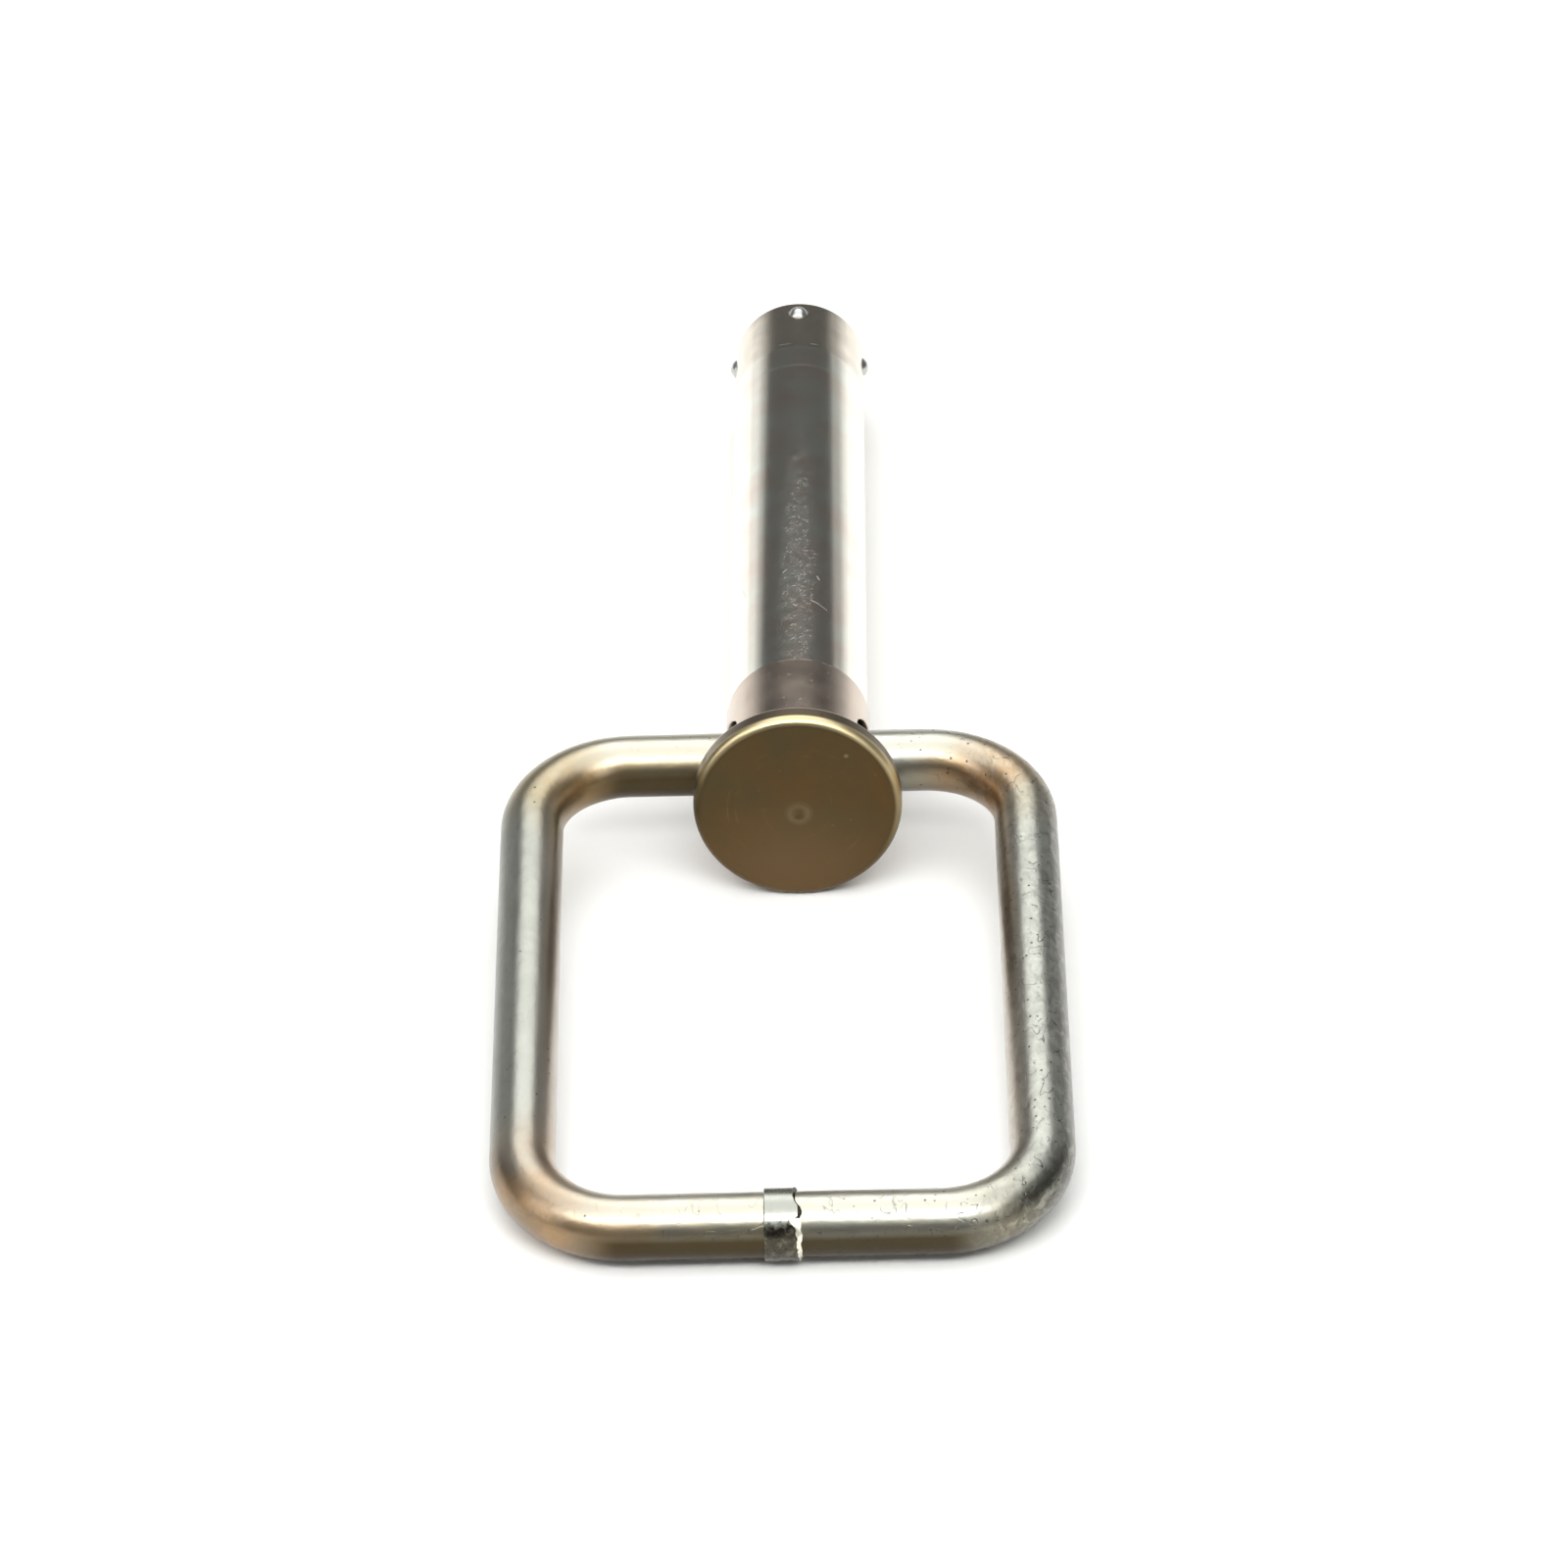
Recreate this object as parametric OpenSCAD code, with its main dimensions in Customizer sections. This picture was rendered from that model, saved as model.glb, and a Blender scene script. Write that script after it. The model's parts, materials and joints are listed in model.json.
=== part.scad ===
// Drawbar pin with a flat round head, a hinged loop handle and sprung detent balls at the tip.
// It lies as it comes to rest on a floor at z = 0: the head's rim, the lowest ball and the
// handle's weld touch the floor. +Y runs from the head to the tip, +X to the right.

/* [Head] */
// Diameter of the head
head_d = 36.7; // [33:0.1:45]
// Thickness of the head
head_t = 4.3; // [3:0.1:8]
// Radius of the rounded front edge
head_edge_r = 1.6; // [0.4:0.1:2.4]
// Chamfer of the back edge
head_back_edge = 0.4; // [0.1:0.1:0.5]

/* [Collar] */
// Diameter of the collar, the bar as it was bought
collar_d = 25.4; // [25:0.1:30]
// Length of the collar from the head's underside to the shank
collar_len = 25.8; // [21:0.1:40]
// Length of the bevel that leads from the collar down to the shank
collar_bevel = 0.5; // [0.2:0.1:2]

/* [Shank and tip] */
// Diameter of the ground shank
shank_d = 24.9; // [24.7:0.1:25]
// Length from the head's underside to the end of the pin
under_head_len = 158.6; // [100:0.1:200]
// Diameter of the tip band
tip_d = 24.6; // [22:0.1:24.8]
// Length of the tip band
tip_len = 18; // [10:0.1:30]
// Length of the bevel between the shank and the tip band
tip_bevel = 0.4; // [0.2:0.1:1]
// Chamfer at the end of the pin
end_chamfer = 1.2; // [0.4:0.1:2]

/* [Cross-hole] */
// Diameter of the hole through the collar
cross_hole_d = 13.5; // [12:0.1:15]
// Distance of the hole's centre from the head's underside
cross_hole_pos = 12.3; // [8:0.1:16]

/* [Handle] */
// Diameter of the bent bar
bar_d = 11; // [8:0.1:11.4]
// Width of the loop between the centres of its bars
loop_w = 86.7; // [75:0.1:120]
// Length of the loop between the centres of its bars
loop_len = 119.8; // [90:0.1:150]
// Bend radius at the centre of the bar
bend_r = 17.3; // [12:0.1:22]
// How far the loop has slid to the left in its hole
loop_shift = 3.5; // [0:0.1:6]
// How far the loop is turned in the play of its hole, in degrees
loop_skew = 0.5; // [0:0.1:0.8]
// Gap between the bar and the bottom of the hole that it lies on
bar_seat_gap = 0.3; // [0.2:0.05:0.5]

/* [Weld] */
// Diameter of the weld band that joins the bar's ends
weld_d = 12.2; // [11.6:0.1:13.5]
// Length of the weld band
weld_len = 6.3; // [4:0.1:10]
// Chamfer of the weld band's edges
weld_edge = 0.3; // [0.1:0.05:0.5]
// Width of the groove left along the weld's right side
weld_groove_w = 0.6; // [0.3:0.1:1]
// Depth of that groove
weld_groove_depth = 0.4; // [0.1:0.05:0.5]
// Distance of the groove's middle from the band's right end
weld_groove_inset = 0.8; // [0.7:0.1:1.5]

/* [Detents] */
// Diameter of a detent ball
ball_d = 4; // [3:0.1:4.5]
// How far a ball stands out of the tip band
ball_out = 1; // [0.6:0.05:1.2]
// Distance of the balls' centres from the end of the pin
ball_from_end = 4.8; // [4.2:0.1:7]
// Radial clearance of a ball in its pocket
pocket_clearance = 0.05; // [0.02:0.01:0.1]
// Depth of a pocket from the surface of the tip band
pocket_depth = 7.8; // [7:0.1:8.5]
// Thickness of the staked lip that keeps a ball in
lip_t = 0.35; // [0.2:0.05:0.5]
// Clearance between a ball and its lip
lip_clearance = 0.03; // [0.02:0.01:0.05]
// Diameter of the spring wire
wire_d = 0.5; // [0.3:0.05:0.6]
// Turns of a spring, the closed end turns included
spring_turns = 6; // [4:1:7]
// Clearance between a spring and the wall of its pocket
spring_side_gap = 0.2; // [0.1:0.05:0.4]
// Clearance between a spring and what it presses on
spring_end_gap = 0.05; // [0.02:0.01:0.1]

/* [Hidden] */
$fn = 96;

// Colours of the finishes
pin_colour = "#7d6a4a";
handle_colour = "#b9b39a";
ball_colour = "#c9ccd0";
spring_colour = "#9a9ca0";

// Extra length of a cut, so that it runs clear of a face
cut = 1;

// Radii
head_r = head_d / 2;
collar_r = collar_d / 2;
shank_r = shank_d / 2;
tip_r = tip_d / 2;
bar_r = bar_d / 2;
weld_r = weld_d / 2;
ball_r = ball_d / 2;
wire_r = wire_d / 2;

// Places along the pin, counted from the head's face
collar_end = head_t + collar_len;
pin_len = head_t + under_head_len;
tip_start = pin_len - tip_len;
hole_at = head_t + cross_hole_pos;
ball_at = pin_len - ball_from_end;

// Detent places, as distances from the pin's axis
ball_centre = tip_r + ball_out - ball_r;
pocket_r = ball_r + pocket_clearance;
pocket_floor = tip_r - pocket_depth;
lip_low = tip_r - lip_t;
lip_r = sqrt(ball_r ^ 2 - (lip_low - ball_centre) ^ 2) + lip_clearance;
coil_r = pocket_r - spring_side_gap - wire_r;
coil_low = pocket_floor + spring_end_gap + wire_r;
coil_high = ball_centre - sqrt((ball_r + spring_end_gap + wire_r) ^ 2 - coil_r ^ 2);

// Sides of the pin, as turns about its axis
right_side = 0;
bottom_side = 90;
left_side = 180;
top_side = 270;
sides = [right_side, bottom_side, left_side, top_side];

// Dip of the pin towards its tip: the head's rim and the lowest ball both touch the floor
rim_at = head_t - head_back_edge;
rim_over_ball = head_r - ball_centre;
rim_to_ball = ball_at - rim_at;
pin_dip = acos(ball_r / norm([rim_over_ball, rim_to_ball])) - atan2(rim_to_ball, rim_over_ball);
face_z = rim_at * sin(pin_dip) + head_r * cos(pin_dip);

// The bar lies at the bottom of its loose hole, and the loop drops to the floor at its weld
bar_drop = (cross_hole_d - bar_d) / 2 - bar_seat_gap;
hinge_z = face_z - hole_at * sin(pin_dip) - bar_drop * cos(pin_dip);
hinge_from_face = hole_at * cos(pin_dip) - bar_drop * sin(pin_dip);
weld_from_hinge = loop_len * cos(loop_skew) + loop_shift * sin(loop_skew);
loop_dip = asin((hinge_z - weld_r) / weld_from_hinge);

// The origin lies on the floor, under the middle of the whole part
pin_x = loop_shift * cos(loop_skew) - loop_len / 2 * sin(loop_skew);
front_from_face = hinge_from_face - weld_from_hinge * cos(loop_dip) - weld_r;
back_from_face = pin_len * cos(pin_dip) + (tip_r - end_chamfer) * sin(pin_dip);
face_y = -(front_from_face + back_from_face) / 2;

// Puts what is drawn along +Z from the head's face, with +Y towards the floor, where the pin lies
module lay_pin() {
    translate([pin_x, face_y, face_z])
        rotate([-pin_dip, 0, 0])
            rotate([-90, 0, 0])
                children();
}

// Puts what is drawn along +Z from the pin's axis at one of the balls
module at_ball(side) {
    lay_pin()
        translate([0, 0, ball_at])
            rotate([0, 0, side])
                rotate([0, 90, 0])
                    children();
}

// A turned length of the pin, straight or tapered
module turned(from, to, r, r_end) {
    translate([0, 0, from])
        cylinder(h = to - from, r1 = r, r2 = is_undef(r_end) ? r : r_end);
}

module head() {
    turned(0, head_t, head_r - head_edge_r);
    turned(head_edge_r, rim_at, head_r);
    turned(rim_at, head_t, head_r, head_r - head_back_edge);
    translate([0, 0, head_edge_r])
        rotate_extrude()
            translate([head_r - head_edge_r, 0])
                circle(r = head_edge_r);
}

module shank() {
    turned(head_t, collar_end - collar_bevel, collar_r);
    turned(collar_end - collar_bevel, collar_end, collar_r, shank_r);
    turned(collar_end, tip_start - tip_bevel, shank_r);
    turned(tip_start - tip_bevel, tip_start, shank_r, tip_r);
    turned(tip_start, pin_len - end_chamfer, tip_r);
    turned(pin_len - end_chamfer, pin_len, tip_r, tip_r - end_chamfer);
}

module cross_hole() {
    translate([0, 0, hole_at])
        rotate([0, 90, 0])
            cylinder(h = collar_d + 2 * cut, r = cross_hole_d / 2, center = true);
}

// A drilled pocket, narrowed at its mouth by the staked lip
module ball_pocket() {
    translate([0, 0, pocket_floor])
        cylinder(h = lip_low - pocket_floor, r = pocket_r);
    translate([0, 0, pocket_floor])
        cylinder(h = pocket_depth + cut, r = lip_r);
}

module pin_body() {
    color(pin_colour)
        difference() {
            lay_pin()
                difference() {
                    union() {
                        head();
                        shank();
                    }
                    cross_hole();
                }
            for (side = sides)
                at_ball(side)
                    ball_pocket();
        }
}

// A straight stretch of the handle's bar along +X, about its middle
module straight_bar(length) {
    rotate([0, 90, 0])
        cylinder(h = length, r = bar_r, center = true);
}

module bend() {
    rotate_extrude(angle = 90)
        translate([bend_r, 0])
            circle(r = bar_r);
}

// The closed loop about its own middle
module loop() {
    half_w = loop_w / 2;
    half_len = loop_len / 2;
    for (end = [-1, 1]) {
        translate([0, end * half_len, 0])
            straight_bar(loop_w - 2 * bend_r);
        translate([end * half_w, 0, 0])
            rotate([0, 0, 90])
                straight_bar(loop_len - 2 * bend_r);
    }
    for (turn = [0, 180]) {
        rotate([0, 0, turn])
            translate([half_w - bend_r, half_len - bend_r, 0])
                bend();
        rotate([0, 0, turn])
            translate([bend_r - half_w, half_len - bend_r, 0])
                rotate([0, 0, 90])
                    bend();
    }
}

// The weld band about +Z, with chamfered edges
module weld_band() {
    body_len = weld_len - 2 * weld_edge;
    cylinder(h = body_len, r = weld_r, center = true);
    for (end = [0, 1])
        mirror([0, 0, end])
            translate([0, 0, body_len / 2])
                cylinder(h = weld_edge, r1 = weld_r, r2 = weld_r - weld_edge);
}

// The V groove that runs round the weld band
module weld_groove() {
    translate([0, 0, weld_len / 2 - weld_groove_inset])
        rotate_extrude()
            polygon([[weld_r - weld_groove_depth, 0],
                     [weld_r + cut, -weld_groove_w / 2 * (1 + cut / weld_groove_depth)],
                     [weld_r + cut, weld_groove_w / 2 * (1 + cut / weld_groove_depth)]]);
}

module handle() {
    color(handle_colour)
        translate([pin_x, face_y + hinge_from_face, hinge_z])
            rotate([loop_dip, 0, 0])
                rotate([0, 0, loop_skew])
                    translate([-loop_shift, -loop_len / 2, 0])
                        difference() {
                            union() {
                                loop();
                                translate([0, -loop_len / 2, 0])
                                    rotate([0, 90, 0])
                                        weld_band();
                            }
                            translate([0, -loop_len / 2, 0])
                                rotate([0, 90, 0])
                                    weld_groove();
                        }
}

module detent_ball(side) {
    color(ball_colour)
        at_ball(side)
            translate([0, 0, ball_centre])
                sphere(r = ball_r);
}

// Rings of the swept wire, their corners and the steps in one turn
wire_corners = 8;
turn_steps = 18;
coil_steps = spring_turns * turn_steps;
// Rise of a closed end turn, and of each turn between the two
closed_pitch = wire_d * 1.06;
open_pitch = (coil_high - coil_low - 2 * closed_pitch) / (spring_turns - 2);

// Height of the wire's centre after a number of turns
function coil_height(turns) =
    coil_low + closed_pitch * (min(turns, 1) + max(turns - spring_turns + 1, 0))
    + open_pitch * min(max(turns - 1, 0), spring_turns - 2);

// Corner of the wire's section, after a number of turns round the coil
function wire_point(turns, corner) =
    let (out = coil_r + wire_r * cos(corner * 360 / wire_corners),
         up = wire_r * sin(corner * 360 / wire_corners))
    [out * cos(turns * 360), out * sin(turns * 360), coil_height(turns) + up];

// Number of a corner in the list of points
function wire_index(step, corner) = step * wire_corners + corner % wire_corners;

module coil() {
    points = [for (step = [0 : coil_steps], corner = [0 : wire_corners - 1])
        wire_point(step / turn_steps, corner)];
    first_end = [for (corner = [0 : wire_corners - 1]) wire_index(0, corner)];
    last_end = [for (corner = [wire_corners - 1 : -1 : 0]) wire_index(coil_steps, corner)];
    walls = [for (step = [0 : coil_steps - 1], corner = [0 : wire_corners - 1], half = [0, 1])
        half == 0
            ? [wire_index(step, corner), wire_index(step + 1, corner), wire_index(step, corner + 1)]
            : [wire_index(step, corner + 1), wire_index(step + 1, corner), wire_index(step + 1, corner + 1)]];
    polyhedron(points = points, faces = concat([first_end, last_end], walls), convexity = 10);
}

module detent_spring(side) {
    color(spring_colour)
        at_ball(side)
            coil();
}

pin_body();
handle();
detent_ball(top_side);  // detent_ball_top
detent_ball(left_side);  // detent_ball_left
detent_ball(bottom_side);  // detent_ball_bottom
detent_ball(right_side);  // detent_ball_right
detent_spring(top_side);  // detent_spring_top
detent_spring(left_side);  // detent_spring_left
detent_spring(bottom_side);  // detent_spring_bottom
detent_spring(right_side);  // detent_spring_right
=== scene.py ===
"""Drawbar pin with a hinged loop handle and sprung detent balls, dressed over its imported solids."""

import json
import math

import bmesh
import bpy
from bpy.props import FloatProperty, FloatVectorProperty, IntProperty, PointerProperty
from mathutils import Matrix, Vector, noise

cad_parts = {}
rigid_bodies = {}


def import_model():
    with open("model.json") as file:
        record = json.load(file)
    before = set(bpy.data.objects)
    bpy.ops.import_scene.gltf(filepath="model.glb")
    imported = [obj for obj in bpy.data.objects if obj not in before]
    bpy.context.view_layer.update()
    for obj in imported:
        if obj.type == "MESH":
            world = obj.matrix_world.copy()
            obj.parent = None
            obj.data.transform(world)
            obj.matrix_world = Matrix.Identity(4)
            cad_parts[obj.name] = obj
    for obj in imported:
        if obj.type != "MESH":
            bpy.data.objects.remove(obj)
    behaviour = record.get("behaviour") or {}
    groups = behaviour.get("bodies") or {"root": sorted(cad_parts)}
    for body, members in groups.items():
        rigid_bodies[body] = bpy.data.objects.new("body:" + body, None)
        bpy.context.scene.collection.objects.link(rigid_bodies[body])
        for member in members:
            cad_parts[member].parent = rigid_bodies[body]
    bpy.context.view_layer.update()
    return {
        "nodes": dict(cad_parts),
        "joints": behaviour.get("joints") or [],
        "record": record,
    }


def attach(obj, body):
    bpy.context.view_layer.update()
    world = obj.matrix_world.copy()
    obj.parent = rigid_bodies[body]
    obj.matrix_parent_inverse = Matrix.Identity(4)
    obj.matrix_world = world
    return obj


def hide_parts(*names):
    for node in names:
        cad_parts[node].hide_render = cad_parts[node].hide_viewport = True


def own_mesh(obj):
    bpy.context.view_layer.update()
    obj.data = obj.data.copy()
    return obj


bl_info = {
    "name": "Drawbar pin",
    "version": (1, 0, 0),
    "blender": (4, 5, 0),
    "location": "3D View > Sidebar > Drawbar pin",
    "description": "Models and finishes a drawbar pin with its loop handle on a pale studio floor",
    "category": "Object",
}

for leftover in list(bpy.data.objects):
    bpy.data.objects.remove(leftover)
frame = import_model()

MM = 0.001
NEAR = 0.01 * MM
SHANK = frame["record"]["mounts"][0]
HINGE = next(joint for joint in frame["joints"] if joint["name"] == "handle_hinge")
DETENT_TURNS = {"right": 0, "bottom": 90, "left": 180, "top": 270}
# Settings that many nodes share
SMOOTH = {"interpolation_type": "SMOOTHSTEP"}
TIMES = {"operation": "MULTIPLY"}
TIMES_PLUS = {"operation": "MULTIPLY_ADD"}


def linear(code):
    """The linear colour of an sRGB hex value."""
    parts = [int(code[i : i + 2], 16) / 255 for i in (1, 3, 5)]
    return tuple(c / 12.92 if c <= 0.04045 else ((c + 0.055) / 1.055) ** 2.4 for c in parts)


def shade(colour, level):
    """A colour at another level of light."""
    return [part * level for part in colour]


def distance(label, text, size):
    """A property for a size in millimetres."""
    return FloatProperty(name=label, description=text, default=size * MM, unit="LENGTH")


def tint(label, text, code):
    """A property for a colour, from its sRGB hex value."""
    bounds = {"min": 0, "max": 1}
    return FloatVectorProperty(name=label, description=text, default=linear(code), subtype="COLOR", **bounds)


def position(label, text, spot):
    """A property for a place or an offset in metres."""
    return FloatVectorProperty(name=label, description=text, default=spot, subtype="TRANSLATION")


def power(label, text, watts):
    """A property for the power of a light panel."""
    return FloatProperty(name=label, description=text, default=watts, unit="POWER")


class PinSizes(bpy.types.PropertyGroup):
    """Sizes of the turned pin, counted along its axis from the head's face."""

    head_r: distance("Head radius", "Radius of the flat head", 18.345)
    head_t: distance("Head thickness", "Thickness of the head", 4.3)
    head_edge: distance("Head edge", "Radius of the rounded front edge", 1.6)
    head_back_edge: distance("Head back edge", "Break of the back edge", 0.4)
    collar_r: distance("Collar radius", "Radius of the collar", 12.7)
    collar_root: distance("Collar root", "Rounding where the collar meets the head", 0.5)
    collar_end: distance("Collar end", "Where the collar meets the shank", 30.1)
    collar_bevel: distance("Collar bevel", "Length of the bevel down to the shank", 0.5)
    shank_r: distance("Shank radius", "Radius of the ground shank", SHANK["dims"]["r_mm"])
    tip_start: distance("Tip band start", "Where the tip band starts", 144.9)
    tip_bevel: distance("Tip bevel", "Length of the bevel down to the tip band", 0.4)
    tip_r: distance("Tip radius", "Radius of the tip band", 12.3)
    end: distance("Pin length", "Length of the whole pin", 162.9)
    end_chamfer: distance("End chamfer", "Chamfer at the end of the pin", 1.2)
    end_edge: distance("End edge", "Rounding of the chamfer's two edges", 0.25)
    hole_r: distance("Cross-hole radius", "Radius of the hole for the handle", 6.75)
    hole_at: distance("Cross-hole place", "Where the hole crosses the collar", 16.6)
    hole_chamfer: distance("Cross-hole chamfer", "Chamfer at the mouths of the hole", 0.2)
    nub_r: distance("Nub radius", "Radius of the ring left at the middle of the face", 2.3)
    nub_off: position("Nub offset", "How far the nub lies off the centre", (0.2 * MM, 1 * MM, 0))
    nub_h: distance("Nub height", "Height of that ring", 0.12)
    facets: IntProperty(name="Facets", description="Steps round the pin", default=192, min=48, max=256)


class HandleSizes(bpy.types.PropertyGroup):
    """Sizes of the bent loop and of the weld that closes it."""

    bar_r: distance("Bar radius", "Radius of the bent bar", 5.5)
    width: distance("Loop width", "Width between the bars' centres", 86.7)
    length: distance("Loop length", "Length between the bars' centres", 119.8)
    bend_r: distance("Bend radius", "Bend radius at the bar's centre", 17.3)
    shift: distance("Slide", "How far the loop has slid left in its hole", 3.5)
    skew: FloatProperty(
        name="Skew", description="Turn in the hole's play", default=math.radians(0.5), subtype="ANGLE"
    )
    weld_r: distance("Weld radius", "Radius of the weld band", 6.1)
    weld_len: distance("Weld length", "Length of the weld band", 6.3)
    crack_w: distance("Crack width", "Width of the crack beside the weld", 0.55)
    crack_d: distance("Crack depth", "Depth of that crack below the bar", 0.4)
    facets: IntProperty(name="Facets", description="Steps round the bar", default=96, min=24, max=128)


class DetentSizes(bpy.types.PropertyGroup):
    """Sizes of the ball pockets and springs, counted outwards from the pin's axis."""

    ball_at: distance("Ball place", "Where the balls sit along the pin", 158.1)
    pocket_r: distance("Pocket radius", "Radius of a pocket", 2.05)
    pocket_floor: distance("Pocket floor", "Where a pocket's floor lies", 4.5)
    lip_r: distance("Lip radius", "Radius of the staked lip", 1.92)
    lip_t: distance("Lip thickness", "Thickness of the staked lip", 0.35)
    lip_break: distance("Lip break", "Broken edge at a pocket's mouth", 0.1)
    wire_r: distance("Wire radius", "Radius of the spring wire", 0.25)
    coil_r: distance("Coil radius", "Radius of a coil", 1.6)
    coil_low: distance("Coil start", "Centre of the first turn", 4.8)
    coil_high: distance("Coil end", "Centre of the last turn", 9.648)
    closed_rise: distance("Closed rise", "Rise of a closed end turn", 0.53)
    turns: IntProperty(
        name="Turns", description="Turns of a spring, the closed ends included", default=6, min=4, max=8
    )


class FinishColours(bpy.types.PropertyGroup):
    """Colours of the finishes."""

    head: tint("Head", "Dark passivated head", "#4A3F2B")
    head_brown: tint("Head brown", "Browner film on the head", "#544229")
    # Painted reflection of the floor, lighter low on the head
    head_floor_reflection: tint("Head tan", "Thinner film low on the head", "#67533A")
    # Worn lines on the head, and the painted highlight on the nub's ring
    head_wear_and_highlight: tint("Head worn", "Worn lines on the head", "#8A7C60")
    # Rim worn to gold, painted as a highlight at its top
    head_rim_wear_and_highlight: tint("Head rim", "Rubbed rim of the head", "#D0C096")
    head_side: tint("Head side", "Rubbed side of the head", "#7E7260")
    collar: tint("Collar", "Plated collar", "#CDBDAE")
    bore: tint("Bore", "Drilled holes", "#7A7468")
    shank: tint("Shank", "Plated ground shank", "#EEF1E6")
    shank_warm: tint("Shank warm", "Warmer clouds on the shank", "#EBDFD2")
    tip: tint("Tip", "Turned tip band", "#E6DDCD")
    # Painted highlight along the tops of the cross bars, also the pale smudges of wear on the right leg
    highlight_and_rubbed: tint("Rubbed", "Top of the two bars, rubbed pale", "#D0CEC0")
    zinc: tint("Zinc", "Cool zinc of the handle", "#A4A69D")
    # Painted shade: darkens the undersides of the cross bars
    underside_shade: tint("Dark film", "Dark film kept underneath", "#382D17")
    # Painted shade on the legs' outer sides
    outer_side_shade: tint("Grey film", "Grey film on the legs' outer sides", "#5C5C53")
    film: tint("Film", "Film kept on sheltered sides", "#AAA093")
    gold: tint("Gold", "Thick yellow film", "#A29472")
    blush: tint("Blush", "Orange film at the bends", "#B78A55")
    steel_blue: tint("Steel blue", "Bluish film by the head", "#929A9A")
    pit: tint("Pit", "Dark pits and scale", "#3A3832")
    weld: tint("Weld", "Trimmed weld", "#6A6455")
    weld_dark: tint("Weld dark", "Darker patches of the weld", "#3A3528")
    # Weld metal, painted near white as a highlight
    flash: tint("Flash", "Bare weld metal", "#FBF6E4")
    ball: tint("Ball", "Hardened ball", "#C6C7C3")
    wire: tint("Wire", "Spring wire", "#8C8E90")


class StageSettings(bpy.types.PropertyGroup):
    """Floor, light and camera."""

    floor_size: FloatProperty(name="Floor", description="Width of the floor", default=40.0, unit="LENGTH")
    floor: tint("Floor colour", "Pale studio floor", "#F0F0EE")
    floor_gain: FloatProperty(
        name="Floor gain", description="How much paler the floor looks than it is", default=1.08, min=1, max=2
    )
    sweep_y: distance("Sweep place", "Where the floor turns up behind the object", 2000)
    sweep_h: distance("Sweep height", "How high the floor turns up", 500)
    key_power: power("Key power", "Power of the key panel", 12.5)
    top_power: power("Top power", "Power of the top panel", 7.0)
    back_power: power("Back power", "Power of the back panel", 6.8)
    left_power: power("Left power", "Power of the left panel", 4.2)
    right_power: power("Right power", "Power of the right panel", 1.8)
    wing_power: power("Wing power", "Power of each panel behind", 0.5)
    room: FloatProperty(name="Room", description="Light level of the grey room", default=0.1, min=0, max=1)
    camera_at: position("Camera place", "Where the camera stands", (0.020266, -1.07819, 0.741085))
    camera_turn: FloatVectorProperty(
        name="Camera turn",
        description="How the camera is turned",
        default=[math.radians(angle) for angle in (55.6802, 1.2794, 0.1927)],
        subtype="EULER",
    )
    lens: FloatProperty(name="Lens", description="Focal length in millimetres", default=167.0)


def pin_place():
    """Matrix from the pin's own frame, with +Z along it from the head's face and +Y to the floor."""
    sizes = bpy.context.scene.drawbar_pin
    axis = Vector(SHANK["axis"])
    middle = (sizes.collar_end + sizes.tip_start - sizes.tip_bevel) / 2
    start = Vector(SHANK["pos_m"]) - axis * middle
    dip = math.atan2(-axis.z, axis.y)
    return Matrix.Translation(start) @ Matrix.Rotation(-dip - math.pi / 2, 4, "X")


def loop_place():
    """Matrix from the loop's own frame, flat in XY about its middle with the weld at -Y."""
    loop = bpy.context.scene.drawbar_handle
    hinge = Vector(HINGE["pos_m"])
    reach = loop.length * math.cos(loop.skew) + loop.shift * math.sin(loop.skew)
    dip = math.asin((hinge.z - loop.weld_r) / reach)
    return (
        Matrix.Translation(hinge)
        @ Matrix.Rotation(dip, 4, "X")
        @ Matrix.Rotation(loop.skew, 4, "Z")
        @ Matrix.Translation((-loop.shift, -loop.length / 2, 0))
    )


def side_place(at, turn):
    """Matrix into the pin's frame from one with +Z outwards at a place along the pin, turned about it."""
    return (
        Matrix.Translation((0, 0, at))
        @ Matrix.Rotation(math.radians(turn), 4, "Z")
        @ Matrix.Rotation(math.pi / 2, 4, "Y")
    )


def drape(verts, radius):
    """Lowers points that stand on a flat face at a bar's top to the bar's round side."""
    for vert in verts:
        vert.co.z += math.sqrt(radius**2 - vert.co.y**2) - radius


def join(bm, part, place):
    """Adds a bmesh to another at a place, and frees it."""
    mesh = bpy.data.meshes.new("part")
    part.to_mesh(mesh)
    part.free()
    mesh.transform(place)
    bm.from_mesh(mesh)
    bpy.data.meshes.remove(mesh)


def of_kind(items, kind):
    """Those of some mesh elements that are of one kind."""
    return [item for item in items if isinstance(item, kind)]


def open_circle(bm, segments, radius, place):
    """The edges of a new open circle."""
    made = bmesh.ops.create_circle(bm, cap_ends=False, segments=segments, radius=radius, matrix=place)
    return list({edge for vert in made["verts"] for edge in vert.link_edges})


def spin(bm, geom, centre, rise, angle, steps, merge):
    """Spins mesh elements about a centre's Z with a rise at each step."""
    how = {"axis": (0, 0, 1), "dvec": (0, 0, rise), "use_merge": merge, "use_duplicate": False}
    return bmesh.ops.spin(bm, geom=geom, cent=centre, angle=angle, steps=steps, **how)


def spin_ring(bm, edges, centre, rise, angle, steps):
    """Spins an open ring of edges and returns the last ring."""
    verts = list({vert for edge in edges for vert in edge.verts})
    made = spin(bm, verts + edges, centre, rise, angle, steps, False)
    return of_kind(made["geom_last"], bmesh.types.BMEdge)


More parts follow.
